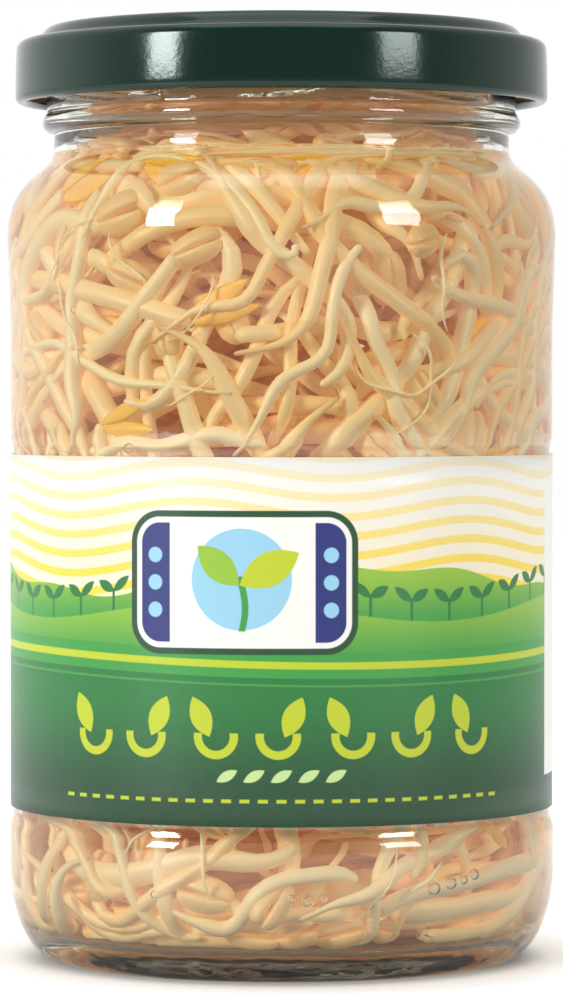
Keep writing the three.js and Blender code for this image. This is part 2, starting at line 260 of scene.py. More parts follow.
def innerWall(over, bore, top):
    # the inside of the glass from the floor to the neck; the liquid reaches over it
    j = jar
    floor, inner = j["glassFloor"] - over, j["innerRadius"] + over
    panel, shoulder = j["innerPanel"] + over, j["innerShoulder"] + over
    o = Outline(25.0, floor).curve(31.2 + over, floor, inner, 6.6, inner, 10.5, 16).line(inner, 13.0)
    o.line(inner, 16.6, 4).curve(inner, 18.0, panel, 18.2, panel, 19.4, 5).line(panel, 66.2, 30)
    o.curve(panel, 67.0, inner, 67.2, inner, 68.2, 5).line(inner, 82.0, 10).line(shoulder, 93.6, 12)
    o.line(shoulder, 95.0, 2).curve(shoulder, 100.5, bore, 101.5, bore, top, 26)
    return o.points


def makeJar():
    j = jar
    o = Outline(0, 2.0).line(21, 1.7, 4).bend(25.6, 1.4, 26.6, 0.0).line(29.6, 0)
    o.curve(33.0, 0, j["heelRadius"], 6.0, j["heelRadius"], 12.0, 18).line(j["heelRadius"], 16.6)
    o.curve(j["heelRadius"], 18.0, j["panelRadius"], 18.2, j["panelRadius"], 19.4, 5)
    o.line(j["panelRadius"], 66.2, 24)
    o.curve(j["panelRadius"], 67.0, j["bodyRadius"], 67.2, j["bodyRadius"], 68.2, 5)
    o.line(j["bodyRadius"], 82.0, 10).line(j["shoulderRadius"], 93.6, 12)
    o.curve(j["shoulderRadius"], 98.4, 33.8, 100.5, 31.6, 102.2, 26)
    o.bend(29.8, 103.5, j["neckRadius"], 105.0).line(j["neckRadius"], 107.0)
    o.arc(29.75, j["beadHeight"], 1.4, -math.pi / 2.2, math.pi / 3.4, 12)
    o.line(j["finishRadius"], 110.2).line(j["finishRadius"], j["rimHeight"] - 1.0, 30)
    o.bend(j["finishRadius"], j["rimHeight"], 29.7, j["rimHeight"]).line(29.0, j["rimHeight"])
    o.bend(j["boreRadius"], j["rimHeight"], j["boreRadius"], j["rimHeight"] - 1.1)
    o.line(j["boreRadius"], 105.0)
    for r, z in reversed(innerWall(0, j["boreRadius"], 105.0)):
        o.line(r, z)
    o.line(0, j["glassFloor"] + 0.6, 4)
    bm = turned(o, j["segments"])
    for vert in bm.verts:
        x, y, z = vert.co / mm
        reach = math.hypot(x, y)
        if reach > j["finishRadius"] - 0.1 and 110.2 < z < 117.5:
            scale = 1 + leadRise(math.atan2(y, x), z) / reach
            vert.co.x *= scale
            vert.co.y *= scale
    return finished(bm, "jarGlass", glassMaterial(), "jar_glass", "glass_jar")


# Lid
lid = {"radius": 34.65, "top": 121.0, "bottom": 111.1, "step": 119.3, "sheet": 0.6, "segments": 240}


def lidMaterial():
    material, wire, place, shader = newMaterial("lidLacquer", {
        "Roughness": 0.2, "IOR": 1.42, "Specular Tint": (0.88, 1, 0.94, 1),
        "Emission Strength": 0.45})
    peel = noise(wire, place, 1700, 2)
    cloud = noise(wire, place, 60, 3)
    paint = mixed(wire, cloud, (0.0035, 0.015, 0.0095, 1), (0.0055, 0.021, 0.0135, 1))
    parts = wire.node("ShaderNodeSeparateXYZ", None, {0: place}).socket.node
    x, y, z = [Wire(wire.tree, parts.outputs[k]) for k in range(3)]
    reach = span(x, y)
    skirt = (reach < 34.2 * mm) * (z < 118.72 * mm) * (z > 112.6 * mm)
    crest = (reach < 31.1 * mm) * (reach > 28.2 * mm) * (z < 120.7 * mm)
    crest = crest * (reach + z < 151.2 * mm)
    panel = (reach < 28.2 * mm) * (z < 119.6 * mm)
    inner = wire.maths("MAXIMUM", skirt, wire.maths("MAXIMUM", crest, panel))
    paint = mixed(wire, inner, paint, (0.66, 0.52, 0.36, 1))
    # painted light: the cream lacquer inside the lid glows, standing in for the light that reaches under
    # the lid
    glow = mixed(wire, inner, (0, 0, 0, 1), (0.36, 0.21, 0.1, 1))
    feed(wire, shader, Base_Color=paint, Emission_Color=glow, Roughness=0.1 + 0.08 * cloud,
         Normal=bump(wire, peel, 0.16, 0.06))
    return material


def makeLid():
    curl = 0.8
    inside = lid["radius"] - lid["sheet"]
    top, step, sheet = lid["top"], lid["step"], lid["sheet"]
    o = Outline(0, top - 1.1 - sheet).line(27.6, top - 1.1 - sheet).line(28.5, top - sheet)
    o.line(30.55, top - sheet).line(31.0, top - sheet - 0.35).line(31.0, step - sheet)
    o.line(32.9, step - sheet)
    o.bend(inside, step - sheet, inside, 117.4).line(inside, lid["bottom"] + 2 * curl + 0.4)
    o.line(lid["radius"] - 2 * curl, lid["bottom"] + 2 * curl)
    o.arc(lid["radius"] - curl, lid["bottom"] + curl, curl, math.pi, 2 * math.pi, 12)
    o.bend(lid["radius"], 115.0, lid["radius"] - 0.12, 117.8, 10)
    o.bend(lid["radius"] - 0.12, step, 32.9, step).line(32.0, step)
    o.bend(31.7, step, 31.4, step + 0.45, 4).bend(30.7, top, 29.9, top, 8)
    o.line(28.9, top).bend(28.3, top, 27.9, top - 0.6, 5).bend(27.6, top - 1.1, 27.0, top - 1.1, 5)
    o.line(15.2, top - 1.1, 3).bend(14.6, top - 1.1, 14.3, top - 0.95, 4)
    o.bend(13.8, top - 0.72, 13.0, top - 0.72, 4).line(0, top - 0.72, 3)
    bm = turned(o, lid["segments"])
    return finished(bm, "lidTwistOff", lidMaterial(), "lid_enamel", "lid")


# Sealing ring
def makeSeal():
    material, wire, place, shader = newMaterial("sealCompound", {"Roughness": 0.55})
    cloud = noise(wire, place, 300, 3)
    tone = mixed(wire, cloud, (0.62, 0.58, 0.5, 1), (0.74, 0.71, 0.63, 1))
    feed(wire, shader, Base_Color=tone, Normal=bump(wire, cloud, 0.3, 0.05))
    low, high = jar["rimHeight"] + 0.12, lid["top"] - lid["sheet"] - 0.12
    o = Outline(28.9, low).line(30.6, low).bend(30.8, low, 30.8, low + 0.3, 3)
    o.line(30.8, high - 0.3).bend(30.8, high, 30.5, high, 3).line(29.1, high)
    o.bend(28.75, high, 28.75, high - 0.4, 3).line(28.75, low + 0.2)
    return finished(turned(o, 120, closed=True), "sealRing", material, "seal", "sealing_ring")


# Label
label = {
    "bottom": 19.9, "top": 65.6, "inner": 35.08, "outer": 35.38, "segments": 240,
    "cream": (0.72, 0.71, 0.67, 1), "yellow": (0.76, 0.55, 0.04, 1), "lime": (0.25, 0.43, 0.04, 1),
    "leaf": (0.045, 0.27, 0.05, 1), "green": (0.022, 0.16, 0.04, 1), "dark": (0.018, 0.062, 0.028, 1),
    "navy": (0.02, 0.028, 0.15, 1), "sky": (0.26, 0.5, 0.64, 1), "fresh": (0.42, 0.49, 0.025, 1),
    "pale": (0.45, 0.6, 0.25, 1),
    "plaqueAt": -5.0, "plaqueHeight": 30.2, "plaqueHalf": (14.6, 8.9), "plaqueCorner": 4.0,
}


def within(wire, distance):
    # 1 inside a printed shape, 0 outside it
    return smooth(wire, distance, 0.08, -0.08)


def leafPrint(wire, x, y, turn, length, width):
    # a pointed leaf that lies along a turned line
    c, s = math.cos(turn), math.sin(turn)
    along = x * c + y * s
    across = y * c - x * s
    return within(wire, abs(across) - width * (1 - (along / length) ** 2))


def wavy(wire, place, height, rate, shift):
    return wire.maths("SINE", place * rate + shift) * height


def repeated(wire, value, period):
    return wire.maths("FLOORED_MODULO", value + period / 2, period) - period / 2


def landscape(wire, u, v):
    # pinstripes over rolling fields, with a row of seedlings
    glow = smooth(wire, v, 47, 29)
    stripes = wire.maths("SINE", (v + wavy(wire, u, 1.0, 0.17, 0.4)) * 2.6)
    art = mixed(wire, glow * 0.3, label["cream"], label["yellow"])
    art = mixed(wire, smooth(wire, stripes, 0.05, 0.45) * (0.3 + 0.65 * glow), art, label["yellow"])
    ridge = 30.4 + wavy(wire, u, 1.7, 0.085, 0.6) + wavy(wire, u, 0.5, 0.33, 0)
    hill = 26.6 + wavy(wire, u, 1.4, 0.11, 2.4)
    far = mixed(wire, smooth(wire, v, 25, 32), label["leaf"], label["lime"])
    art = mixed(wire, within(wire, v - ridge), art, far)
    cell = repeated(wire, u, 5.6)
    up = v - hill
    stalk = wire.maths("MAXIMUM", abs(cell) - 0.2, up - 2.8)
    art = mixed(wire, within(wire, stalk), art, label["green"])
    for side in (-1, 1):
        blade = leafPrint(wire, cell - side * 1.15, up - 3.2, side * 0.6, 1.5, 0.62)
        art = mixed(wire, blade, art, label["green"])
    near = mixed(wire, smooth(wire, v, 20, 29), label["leaf"], label["lime"])
    art = mixed(wire, within(wire, up), art, near)
    roll = v + wavy(wire, u, 0.7, 0.05, 1.0)
    art = mixed(wire, within(wire, roll - 22.3), art, label["leaf"])
    art = mixed(wire, within(wire, abs(roll - 20.6) - 0.45), art, label["fresh"])
    foot = mixed(wire, smooth(wire, v, 17, 3), label["green"], label["dark"])
    art = mixed(wire, within(wire, roll - 19.0), art, foot)
    return mixed(wire, within(wire, abs(roll - 18.1) - 0.14), art, label["leaf"])


def ornaments(wire, art, u, v):
    # a row of curled sprouts, three small leaves and a fine dashed line
    number = wire.maths("FLOOR", (u + 4.3) / 8.6)
    flip = 1 - 2 * wire.maths("FLOORED_MODULO", number, 2)
    x = repeated(wire, u, 8.6) * flip
    curl = abs(span(x + 0.4, v - 11.2) - 2.3) - 0.52
    tail = wire.maths("MAXIMUM", curl, v - 11.6)
    bean = leafPrint(wire, x - 1.5, v - 13.6, 1.15, 2.7, 1.35)
    rows = wire.maths("MAXIMUM", within(wire, tail), bean) * within(wire, abs(u) - 29.5)
    art = mixed(wire, rows, art, label["fresh"])
    small = leafPrint(wire, repeated(wire, u, 3.4), v - 6.3, 0.5, 1.5, 0.62)
    art = mixed(wire, small * within(wire, abs(u) - 8.4), art, label["pale"])
    dash = wire.maths("MAXIMUM", abs(repeated(wire, u, 2.3)) - 0.62, abs(v - 3.2) - 0.22)
    return mixed(wire, within(wire, dash) * within(wire, abs(u) - 31), art, label["fresh"])


def plaque(wire, art, u, v):
    # a bare badge with rounded corners, a dotted band on either side and a plain sprig
    wide, tall = label["plaqueHalf"]
    corner = label["plaqueCorner"]
    x = u - label["plaqueAt"]
    y = v - label["plaqueHeight"]
    overX = wire.maths("MAXIMUM", abs(x) - (wide - corner), 0)
    overY = wire.maths("MAXIMUM", abs(y) - (tall - corner), 0)
    edge = span(overX, overY) - corner
    art = mixed(wire, within(wire, edge), art, label["dark"])
    art = mixed(wire, within(wire, edge + 0.8), art, label["cream"])
    band = within(wire, edge + 1.5) * within(wire, 9.2 - abs(x))
    art = mixed(wire, band, art, label["navy"])
    dots = within(wire, span(abs(x) - 11.2, repeated(wire, y, 3.4)) - 0.95)
    art = mixed(wire, dots * within(wire, abs(y) - 5.5), art, label["sky"])
    art = mixed(wire, within(wire, span(x, y - 0.4) - 6.3), art, label["sky"])
    stalk = wire.maths("MAXIMUM", abs(x + wavy(wire, y, 0.5, 0.5, 0)) - 0.42, abs(y + 2.6) - 3.4)
    art = mixed(wire, within(wire, stalk), art, label["leaf"])
    art = mixed(wire, leafPrint(wire, x - 3.5, y - 1.7, 0.5, 4.2, 2.1), art, label["fresh"])
    return mixed(wire, leafPrint(wire, x + 2.9, y - 2.1, -0.75, 3.6, 1.8), art, label["lime"])


def labelMaterial():
    material, wire, place, shader = newMaterial("labelPaper", {"Roughness": 0.35, "IOR": 1.35})
    parts = wire.node("ShaderNodeSeparateXYZ", None, {0: place}).socket.node
    x, y, z = [Wire(wire.tree, parts.outputs[k]) for k in range(3)]
    u = wire.maths("ARCTAN2", x, 0 - y) * label["outer"]
    v = z / mm - label["bottom"]
    grain = noise(wire, place, 800, 2)
    art = plaque(wire, ornaments(wire, landscape(wire, u, v), u, v), u, v)
    panel = wire.maths("MAXIMUM", abs(u - 56) - 11, abs(v - 23) - 18.5)
    art = mixed(wire, within(wire, panel), art, label["cream"])
    seam = within(wire, 110.6 - abs(u))
    art = mixed(wire, seam * 0.5, art, label["cream"])
    art = mixed(wire, 0.02 * grain, art, label["cream"])
    feed(wire, shader, Base_Color=art, Roughness=0.3 + 0.1 * grain,
         Normal=bump(wire, grain, 0.1, 0.03))
    return material


def makeLabel():
    o = Outline(label["inner"], label["bottom"]).line(label["outer"], label["bottom"])
    o.line(label["outer"], label["top"], 12).line(label["inner"], label["top"])
    bm = turned(o, label["segments"], closed=True)
    return finished(bm, "labelWrap", labelMaterial(), "label_paper", "label")


# Brine
brine = {"level": 103.5, "overlap": 0.03, "meniscus": 0.9}


def brineMaterial():
    material, wire, place, shader = newMaterial("brineLiquid", {
        "Transmission Weight": 1.0, "IOR": 1.33, "Roughness": 0.0})
    swirl = noise(wire, place, 30, 2)
    tint = mixed(wire, swirl, (0.99, 0.965, 0.92, 1), (1, 0.985, 0.95, 1))
    feed(wire, shader, Base_Color=tint, Normal=bump(wire, swirl, 0.05, 0.3))
    clearToLamps(wire, shader)
    soak(wire, (0.96, 0.72, 0.34, 1), 24.0)
    return material


def makeBrine():
    j, over = jar, brine["overlap"]
    bore = j["boreRadius"] + over + 0.5
    o = Outline(0, j["glassFloor"] - over + 0.6)
    for r, z in innerWall(over, bore, brine["level"] + brine["meniscus"]):
        o.line(r, z)
    o.bend(bore - 1.2, brine["level"], bore - 3.2, brine["level"], 6).line(0, brine["level"], 4)
    return finished(turned(o, 200), "brineLiquid", brineMaterial(), "brine", "brine")


# Sprouts
sprouts = {
    "coreRadius": 25.0, "shellRadius": 30.6, "layerDepth": 2.9, "endRoom": 1.9, "glassRoom": 1.15,
    "steps": 24, "seedShare": 0.42, "leafShare": 0.16, "clear": 0.35, "passes": 60,
    "bunches": [
        {"name": "sprouts_lower", "from": 7.2, "to": 29.8, "count": 12, "seed": 103, "standing": 0},
        {"name": "sprouts_middle", "from": 30.2, "to": 59.8, "count": 4, "seed": 23, "standing": 0},
        {"name": "sprouts_upper", "from": 60.2, "to": 102.0, "count": 35, "seed": 13, "standing": 4},
    ],
    "looseSeed": 101, "loosePasses": 40,
    "loose": [
        {"from": 4.1, "to": 103.2,
         "layers": ((30.9, 150), (29.0, 150), (27.0, 140), (24.8, 110), (22.4, 80), (19.5, 50))},
        {"from": 95.0, "to": 111.0, "layers": ((26.4, 34), (24.0, 30), (20.5, 26), (16.5, 20))},
        {"from": 4.1, "to": 17.0, "layers": ((23.0, 28), (17.0, 22), (11.0, 14), (6.0, 8))},
    ],
    "pieces": [
        {"name": "sproutsNear", "from": 0, "to": 150, "rings": 32, "sides": 12},
        {"name": "sproutsBehind", "from": 150, "to": 370, "rings": 26, "sides": 9},
        {"name": "sproutsDeep", "from": 370, "to": 680, "rings": 20, "sides": 7},
        {"name": "sproutsEnds", "from": 680, "to": 862, "rings": 24, "sides": 8},
    ],
}
goldenAngle = math.pi * (3 - math.sqrt(5))
goldenShare = (math.sqrt(5) - 1) / 2
looseShare = 0.7548776662


def makeDraw(seed):
    state = seed

    def draw():
        nonlocal state
        state = (state * 1664525 + 1013904223) % 4294967296
        return state / 4294967296
    return draw


def wallRadius(height):
    # how far out the sprouts may lie at this height, by the rule of the CAD part
    shoulder = smoothstep(height, 92.0, 102.0)
    heel = 1 - smoothstep(height, jar["floorHeight"] - 6, 13.0)
    return jar["innerRadius"] - (jar["innerRadius"] - jar["boreRadius"]) * shoulder - 11 * heel


def stemRadius(t, thickness):
    # thin at the root, and thickest after a third of the stem
    return thickness * (0.32 + 0.68 * smoothstep(t, 0.05, 0.34)) * (1 - 0.18 * t)


def sproutLine(draw, low, high, index, outer, loose):
    # the middle line of a sprout, from its root to its head, as it leans with the glass;
    # a loose one (1, not 0) has no root in the core, is smaller and curls more
    steps = sprouts["steps"]
    length = (38 + 28 * draw()) * (1 - 0.3 * loose)
    low, high = low + sprouts["endRoom"], high - sprouts["endRoom"]
    angle = index * goldenAngle + 0.5 * draw()
    share = looseShare if loose else goldenShare
    z = low + (high - low) * ((index * share + 0.2 * draw()) % 1)
    heading = 2 * math.pi * draw()
    bend = (0.05 + 0.05 * loose) * (draw() - 0.5)
    wave = (0.07 + 0.1 * loose) * (draw() - 0.5)
    phase = 2 * math.pi * draw()
    hook = (-1 if draw() < 0.5 else 1) * (0.06 + (0.14 + 0.3 * loose) * draw())
    thickness = 1.15 - 0.35 * loose + (0.5 + 0.25 * loose) * draw()
    kind = draw()
    points = []
    for i in range(steps + 1):
        t = i / steps
        rise = max(loose, float(smoothstep(t, 0, 0.3)))
        layer = min(outer, float(wallRadius(z)) - 2.3 - (sprouts["shellRadius"] - outer))
        radius = layer - (layer - sprouts["coreRadius"] + 1.5) * (1 - rise)
        points.append((radius * math.cos(angle), radius * math.sin(angle), z))
        step = length / steps
        heading += step * (bend + wave * math.sin(phase + 7 * t) + (hook if t > 0.82 else 0))
        room = high - z if math.sin(heading) > 0 else z - low
        angle += step * math.cos(heading) / radius
        z += step * math.sin(heading) * min(max(room / 4, 0), 1)
    return {"points": np.array(points), "thickness": thickness, "kind": kind, "step": length / steps,
            "loose": loose}


def standingLine(draw, index, count):
    # a sprout that stands out of the liquid, with an upright stem
    steps = sprouts["steps"]
    bottom = 88
    angle = (index + 0.4 * draw()) * 2 * math.pi / count - 1.9
    radius = 17 + 5 * draw()
    top = brine["level"] + 4 + 2 * draw()
    thickness = 1.15 + 0.5 * draw()
    kind = draw()
    t = np.linspace(0, 1, steps + 1)
    turn = angle + 3 * smoothstep(t, 0.86, 1.0) / radius
    points = np.stack([radius * np.cos(turn), radius * np.sin(turn), bottom + (top - bottom) * t], 1)
    return {"points": points, "thickness": thickness, "kind": kind, "step": (top - bottom) / steps,
            "loose": 0}


def closePairs(points, reach):
    # pairs of points nearer than reach, found in a grid of cells
    cell = np.floor(points / reach).astype(np.int64) + 64
    key = (cell[:, 0] * 256 + cell[:, 1]) * 256 + cell[:, 2]
    order = np.argsort(key, kind="stable")
    ordered = key[order]
    firsts, seconds = [], []
    for dx in (-1, 0, 1):
        for dy in (-1, 0, 1):
            for dz in (-1, 0, 1):
                wanted = key + (dx * 256 + dy) * 256 + dz
                start = np.searchsorted(ordered, wanted, "left")
                count = np.searchsorted(ordered, wanted, "right") - start
                first = np.repeat(np.arange(len(points)), count)
                offset = np.arange(count.sum()) - np.repeat(np.cumsum(count) - count, count)
                firsts.append(first)
                seconds.append(order[np.repeat(start, count) + offset])
    return np.concatenate(firsts), np.concatenate(seconds)


def settle(lines, still, low, high, passes, inner, every=1):
    # pushes the lines apart in steps and back inside the glass; some overlap is left at the end
    count = sprouts["steps"] + 1
    everything = still + lines
    points = np.concatenate([line["points"] for line in everything])
    owner = np.repeat(np.arange(len(everything)), count)
    t = np.tile(np.linspace(0, 1, count), len(everything))
    thick = np.concatenate([stemRadius(np.linspace(0, 1, count), line["thickness"])
                            for line in everything])
    head = np.array([line["kind"] < sprouts["seedShare"] for line in everything])
    thick = np.where(np.repeat(head, count) & (t > 0.86), 2.1, thick)
    rest = np.repeat([line["step"] for line in everything], count)
    free = (owner >= len(still)) & ((t > 0.08) | (inner == 0))
    reach = 2 * thick.max() + sprouts["clear"]
    for step in range(passes):
        if step % every == 0:
            first, second = closePairs(points, reach)
            use = (owner[first] != owner[second]) & free[first]
            use[use] = np.linalg.norm(points[first[use]] - points[second[use]], axis=1) < reach
            first, second = first[use], second[use]
        apart = points[first] - points[second]
        distance = np.linalg.norm(apart, axis=1) + 1e-9
        deficit = thick[first] + thick[second] + sprouts["clear"] - distance
        hit = deficit > 0
        share = np.where(free[second[hit]], 0.5, 1.0) * 0.7
        move = apart[hit] * (share * deficit[hit] / distance[hit])[:, None]
        push = np.zeros_like(points)
        np.add.at(push, first[hit], move)
        hits = np.bincount(first[hit], minlength=len(points))
        push /= np.maximum(1, 0.6 * hits)[:, None]
        table = push.reshape(-1, count, 3)
        spread = table.copy()
        spread[:, 1:] += 0.7 * table[:, :-1]
        spread[:, :-1] += 0.7 * table[:, 1:]
        points = points + spread.reshape(-1, 3) / 1.9 * free[:, None]
        for k in range(3):
            table = points.reshape(-1, count, 3)
            links = table[:, 1:] - table[:, :-1]
            long = np.linalg.norm(links, axis=2, keepdims=True) + 1e-9
            fix = links * (1 - rest.reshape(-1, count)[:, 1:, None] / long) * 0.4
            table = table.copy()
            table[:, :-1] += fix
            table[:, 1:] -= fix
            points = np.where(free[:, None], table.reshape(-1, 3), points)
        reachOut = np.hypot(points[:, 0], points[:, 1])
        most = wallRadius(points[:, 2]) - thick - sprouts["glassRoom"]
        if inner == 0:
            most = most + 1.6 * (1 - smoothstep(points[:, 2], 9.0, 14.0))
        least = np.where((t > 0.3) & (inner > 0), inner + thick, 0)
        scale = np.clip(reachOut, np.minimum(least, most), most) / reachOut
        points[:, :2] = np.where(free[:, None], points[:, :2] * scale[:, None], points[:, :2])
        flat = np.clip(points[:, 2], low + thick, high - thick)
        points[:, 2] = np.where(free, flat, points[:, 2])
    for k, line in enumerate(everything):
        line["points"] = points[k * count:(k + 1) * count]


def sproutMaterial():
    material, wire, place, shader = newMaterial("sproutFlesh", {
        "Roughness": 0.42, "IOR": 1.4, "Subsurface Weight": 0.4, "Subsurface Scale": 0.0018,
        "Subsurface Radius": (1.0, 0.6, 0.3), "Emission Strength": 0.2})
    along = wire.node("ShaderNodeAttribute", {"attribute_name": "along"}, out="Fac")
    tone = wire.node("ShaderNodeAttribute", {"attribute_name": "tone"}, out="Fac")
    kind = wire.node("ShaderNodeAttribute", {"attribute_name": "kind"}, out="Fac")
    depth = wire.node("ShaderNodeAttribute", {"attribute_name": "depth"}, out="Fac")
    streak = noise(wire, place, 260, 3)
    stem = mixed(wire, tone, (0.96, 0.65, 0.27, 1), (0.95, 0.78, 0.46, 1))
    root = mixed(wire, smooth(wire, along, 0.02, 0.3), (0.62, 0.36, 0.15, 1), stem)
    seed = mixed(wire, tone, (0.86, 0.54, 0.2, 1), (0.88, 0.63, 0.3, 1))
    leaf = mixed(wire, tone, (0.95, 0.46, 0.025, 1), (0.95, 0.58, 0.07, 1))
    flesh = mixed(wire, kind > 0.5, root, seed)
    flesh = mixed(wire, kind > 1.5, flesh, leaf)
    flesh = mixed(wire, 0.25 * streak, flesh, (0.75, 0.5, 0.26, 1))
    # painted shade: the sprouts turn orange-brown away from the glass and above the liquid, for the
    # shade between them and the light tinted by the brine
    shadedFlesh = mixed(wire, depth, flesh, (0.55, 0.23, 0.04, 1))
    # painted light: the sprouts glow faintly in their own colour, orange where the painted shade lies
    glow = mixed(wire, depth, flesh, (0.62, 0.24, 0.02, 1))
    feed(wire, shader, Base_Color=shadedFlesh, Emission_Color=glow, Roughness=0.35 + 0.2 * streak,
         Normal=bump(wire, streak, 0.3, 0.15))
    return material


def framesAlong(points):
    # direction, sideways and outward at every point of a line
    along = np.gradient(points, axis=0)
    along /= np.linalg.norm(along, axis=1, keepdims=True) + 1e-12
    outward = points * [1, 1, 0]
    outward /= np.linalg.norm(outward, axis=1, keepdims=True) + 1e-12
    sideways = np.cross(along, outward)
    sideways /= np.linalg.norm(sideways, axis=1, keepdims=True) + 1e-12
    return along, sideways, np.cross(sideways, along)


def eased(points, passes):
    # takes the small kinks out of a line
    for step in range(passes):
        middle = (points[:-2] + 2 * points[1:-1] + points[2:]) / 4
        points = np.concatenate([points[:1], middle, points[-1:]])
    return points


def finer(points, at):
    # a smooth line through the points, with its own places along it
    k = np.clip(np.floor(at).astype(int), 0, len(points) - 2)
    t = (at - k)[:, None]
    p0, p1 = points[np.maximum(k - 1, 0)], points[k]
    p2, p3 = points[k + 1], points[np.minimum(k + 2, len(points) - 1)]
    return 0.5 * (2 * p1 + (p2 - p0) * t + (2 * p0 - 5 * p1 + 4 * p2 - p3) * t ** 2
                  + (3 * p1 - p0 - 3 * p2 + p3) * t ** 3)


def mark(layers, vert, along, tone, kind, depth):
    vert[layers["along"]] = along
    vert[layers["tone"]] = tone
    vert[layers["kind"]] = kind
    vert[layers["depth"]] = depth


def depthAt(places):
    # painted shade: 0 next to the glass, 1 in the middle of the jar, and more above the liquid, where
    # the lid shades the sprouts
    z = places[..., 2]
    inward = wallRadius(z) - np.hypot(places[..., 0], places[..., 1])
    return np.maximum(0.85 * smoothstep(z, 102.5, 107.0), 0.95 * smoothstep(inward, 2.4, 11.0))


def addTube(bm, layers, points, radii, sides, tone, start=0.0):
    last = len(points) - 1
    _, sideways, up = framesAlong(points)
    turn = np.linspace(0, 2 * math.pi, sides + 1)[None, :, None]
    offset = sideways[:, None] * np.cos(turn) + up[:, None] * np.sin(turn)
    twist = 9 * tone + np.linspace(0, 4, last + 1)[:, None, None]
    flat = 0.94 + 0.09 * np.cos(2 * turn + twist) + 0.025 * np.cos(5 * turn + twist)
    skin = points[:, None] + offset * flat * radii[:, None, None]
    # painted shade at every point of the skin, so the side of a stem that faces the middle is darker
    depth = depthAt(skin)
    made = bmesh.ops.create_grid(bm, x_segments=sides, y_segments=last, size=0.5)["verts"]
    for vert in made:
        column = round((vert.co.x + 0.5) * sides)
        row = round((vert.co.y + 0.5) * last)
        vert.co = skin[row, column] * mm
        mark(layers, vert, start + (1 - start) * row / last, tone, 0, depth[row, column])


def plainBall(around, along):
    bm = bmesh.new()
    turn = Matrix.Rotation(math.pi / 2, 4, "Y")
    bmesh.ops.create_uvsphere(bm, u_segments=around, v_segments=along, radius=1, matrix=turn)
    mesh = bpy.data.meshes.new("ball")
    bm.to_mesh(mesh)
    bm.free()
    return mesh


def addLump(bm, layers, ball, centre, axes, size, tone, kind, shape):
    # a seed half or a leaf: a ball pressed into shape
    first = len(bm.verts)
    bm.from_mesh(ball)
    bm.verts.ensure_lookup_table()
    verts = bm.verts[first:]
    shaped = np.array([shape(*vert.co) for vert in verts])
    places = np.array(centre) + (shaped * size) @ np.array(axes)
    for vert, place, a, depth in zip(verts, places, shaped[:, 0], depthAt(places)):
        vert.co = place * mm
        mark(layers, vert, (a + 1) / 2, tone, kind, depth)


def seedShape(a, b, c):
    # one half of the seed: plump outside, nearly flat inside, a little curled
    b = b if b > 0 else b * 0.2
    blunt = max(1 - a * a, 0.03) ** -0.16
    return a, b * blunt + 0.06 * (1 - a * a), c * blunt * (1 - 0.12 * a)


def leafShape(a, b, c):
    # a narrow leaf, pointed, folded a little along its rib
    width = (1 - abs(a)) ** 0.25
    return a, b * width, c + 0.5 * b * b + 0.6 * a * a


def addSprout(bm, layers, balls, line, rings, sides):
    draw = makeDraw(int(line["thickness"] * 1e6))
    tone = draw()
    points = eased(line["points"], 4)
    hasHead = line["kind"] < sprouts["seedShare"] + sprouts["leafShare"]
    body = points[:-3] if hasHead else points
    last = len(body) - 1
    cap = 0.9 * line["thickness"] / line["step"]
    ends = np.array([0, 0.04, 0.16, 0.4, 0.7]) * cap
    at = np.concatenate([ends, np.linspace(cap, last - cap, rings - 10), last - ends[::-1]])
    t = at / (len(points) - 1)
    radii = stemRadius(t, line["thickness"]) * (1 + 0.05 * np.sin(9 * t + 6 * tone))
    radii *= 1 - 0.4 * smoothstep(t, 0.84, 1.0)
    blunt = np.sqrt(1 - (1 - np.clip(np.minimum(at, last - at) / cap, 0, 1)) ** 2)
    addTube(bm, layers, finer(body, at), np.maximum(radii * blunt, 0.002), sides, tone)
    if not hasHead:
        return
    along, sideways, up = [Vector(axis[-3]) for axis in framesAlong(points)]
    tip = Vector(points[-4])
    leafy = line["kind"] > sprouts["seedShare"]
    for side in (-1, 1):
        spread = (0.2 if leafy else 0.06) * (0.3 + 1.2 * draw())
        direction = (along + sideways * side * spread).normalized()
        across = direction.cross(up).normalized() * side
        size = (4.6 - 0.5 * line["loose"], 1.25 - 0.2 * line["loose"], 0.22)
        if not leafy:
            size = (3.5 - 0.3 * line["loose"], 1.95 - 0.2 * line["loose"], 1.9 - 0.2 * line["loose"])
        centre = tip + direction * size[0] * (0.9 if leafy else 0.75) + across * (0.4 if leafy else 0.15)
        axes = (direction, across, direction.cross(across))
        kind = 2 if leafy else 1
        addLump(bm, layers, balls[kind], centre, axes, size, tone, kind,
                leafShape if leafy else seedShape)


def floatLayers(bm):
    return {name: bm.verts.layers.float.new(name) for name in ("along", "tone", "kind", "depth")}


def closeUp(bm):
    bmesh.ops.remove_doubles(bm, verts=bm.verts, dist=2e-6)
    bmesh.ops.recalc_face_normals(bm, faces=bm.faces)


def outerSprouts(bunch):
    # the sprouts of one CAD node, by the rule of its source
    draw = makeDraw(bunch["seed"])
    lines = []
    for index in range(bunch["count"]):
        outer = sprouts["shellRadius"] - (index % 2) * sprouts["layerDepth"]
        lines.append(sproutLine(draw, bunch["from"], bunch["to"], index, outer, 0))
    upright = [standingLine(draw, index, bunch["standing"]) for index in range(bunch["standing"])]
    settle(lines, upright, bunch["from"], bunch["to"], sprouts["passes"], sprouts["coreRadius"])
    return upright + lines


